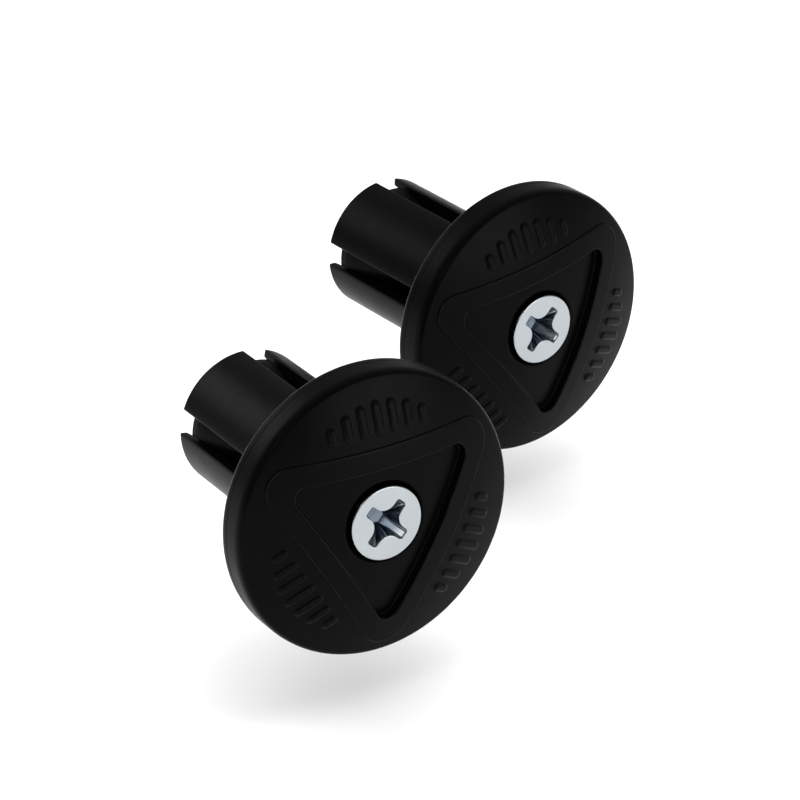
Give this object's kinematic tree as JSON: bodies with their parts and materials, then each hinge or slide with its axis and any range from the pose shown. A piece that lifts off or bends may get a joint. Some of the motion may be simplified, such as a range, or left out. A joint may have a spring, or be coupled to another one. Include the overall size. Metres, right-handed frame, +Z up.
{
  "type": "bar end plug",
  "caption": "Pair of expanding handlebar end plugs: domed round flange, slotted barrel, and a countersunk screw that draws a tapered wedge in to spread the barrel.",
  "frame": {"origin": "on plug A's axis, in the plane where its flange meets the end of the bar", "axes": "+Y into the bar along plug A's axis, -Y out of its face, +Z up; plug B stands beside and behind, turned a few degrees from plug A"},
  "size_m": [0.0864, 0.0799, 0.0381],
  "materials": {
    "black_plastic": "moulded satin black, very fine grain",
    "zinc_plate": "bright zinc plate with a faint blue cast"
  },
  "bodies": {
    "cap_a": {"end_cap_a": "black_plastic"},
    "screw_a": {"csk_screw_a": "zinc_plate"},
    "wedge_a": {"expander_wedge_a": "black_plastic", "hex_nut_a": "zinc_plate"},
    "finger_a_1": {"finger_a_1": "black_plastic"},
    "finger_a_2": {"finger_a_2": "black_plastic"},
    "finger_a_3": {"finger_a_3": "black_plastic"},
    "finger_a_4": {"finger_a_4": "black_plastic"},
    "cap_b": {"end_cap_b": "black_plastic"},
    "screw_b": {"csk_screw_b": "zinc_plate"},
    "wedge_b": {"expander_wedge_b": "black_plastic", "hex_nut_b": "zinc_plate"},
    "finger_b_1": {"finger_b_1": "black_plastic"},
    "finger_b_2": {"finger_b_2": "black_plastic"},
    "finger_b_3": {"finger_b_3": "black_plastic"},
    "finger_b_4": {"finger_b_4": "black_plastic"}
  },
  "joints": [
    {"name": "screw_turn_a", "type": "hinge", "parent": "cap_a", "child": "screw_a", "pos_m": [0, 0, 0], "axis": [0, 1, 0], "range_deg": [0, 1440]},
    {"name": "wedge_draw_a", "type": "slide", "parent": "cap_a", "child": "wedge_a", "axis": [0, -1, 0], "range_m": [0, 0.0032]},
    {"name": "finger_flex_a_1", "type": "hinge", "parent": "cap_a", "child": "finger_a_1", "pos_m": [-0.00453, 0.00615, 0.00635], "axis": [0.8141, 0, 0.5807], "range_deg": [0, 1.9]},
    {"name": "finger_flex_a_2", "type": "hinge", "parent": "cap_a", "child": "finger_a_2", "pos_m": [-0.00635, 0.00615, -0.00453], "axis": [-0.5807, 0, 0.8141], "range_deg": [0, 1.9]},
    {"name": "finger_flex_a_3", "type": "hinge", "parent": "cap_a", "child": "finger_a_3", "pos_m": [0.00453, 0.00615, -0.00635], "axis": [-0.8141, 0, -0.5807], "range_deg": [0, 1.9]},
    {"name": "finger_flex_a_4", "type": "hinge", "parent": "cap_a", "child": "finger_a_4", "pos_m": [0.00635, 0.00615, 0.00453], "axis": [0.5807, 0, -0.8141], "range_deg": [0, 1.9]},
    {"name": "plug_b_pull_out", "type": "slide", "parent": "cap_a", "child": "cap_b", "axis": [0.1131, -0.993, -0.0349], "range_m": [0, 0.06]},
    {"name": "screw_turn_b", "type": "hinge", "parent": "cap_b", "child": "screw_b", "pos_m": [0.0481, 0.0419, 0], "axis": [-0.1131, 0.993, 0.0349], "range_deg": [0, 1440]},
    {"name": "wedge_draw_b", "type": "slide", "parent": "cap_b", "child": "wedge_b", "axis": [0.1131, -0.993, -0.0349], "range_m": [0, 0.0032]},
    {"name": "finger_flex_b_1", "type": "hinge", "parent": "cap_b", "child": "finger_b_1", "pos_m": [0.04216, 0.04721, 0.00593], "axis": [0.7317, 0.0595, 0.679], "range_deg": [0, 1.9]},
    {"name": "finger_flex_b_2", "type": "hinge", "parent": "cap_b", "child": "finger_b_2", "pos_m": [0.0417, 0.04754, -0.00508], "axis": [-0.6722, -0.1024, 0.7333], "range_deg": [0, 1.9]},
    {"name": "finger_flex_b_3", "type": "hinge", "parent": "cap_b", "child": "finger_b_3", "pos_m": [0.05265, 0.04881, -0.00551], "axis": [-0.7317, -0.0595, -0.679], "range_deg": [0, 1.9]},
    {"name": "finger_flex_b_4", "type": "hinge", "parent": "cap_b", "child": "finger_b_4", "pos_m": [0.05311, 0.04847, 0.00551], "axis": [0.6722, 0.1024, -0.7333], "range_deg": [0, 1.9]}
  ],
  "couplings": [
    {"joint": "screw_turn_a", "follows": "wedge_draw_a", "rad_per_m": 7853.9},
    {"joint": "finger_flex_a_1", "follows": "wedge_draw_a", "rad_per_m": 10.362},
    {"joint": "finger_flex_a_2", "follows": "wedge_draw_a", "rad_per_m": 10.362},
    {"joint": "finger_flex_a_3", "follows": "wedge_draw_a", "rad_per_m": 10.362},
    {"joint": "finger_flex_a_4", "follows": "wedge_draw_a", "rad_per_m": 10.362},
    {"joint": "screw_turn_b", "follows": "wedge_draw_b", "rad_per_m": 7853.9},
    {"joint": "finger_flex_b_1", "follows": "wedge_draw_b", "rad_per_m": 10.362},
    {"joint": "finger_flex_b_2", "follows": "wedge_draw_b", "rad_per_m": 10.362},
    {"joint": "finger_flex_b_3", "follows": "wedge_draw_b", "rad_per_m": 10.362},
    {"joint": "finger_flex_b_4", "follows": "wedge_draw_b", "rad_per_m": 10.362}
  ]
}
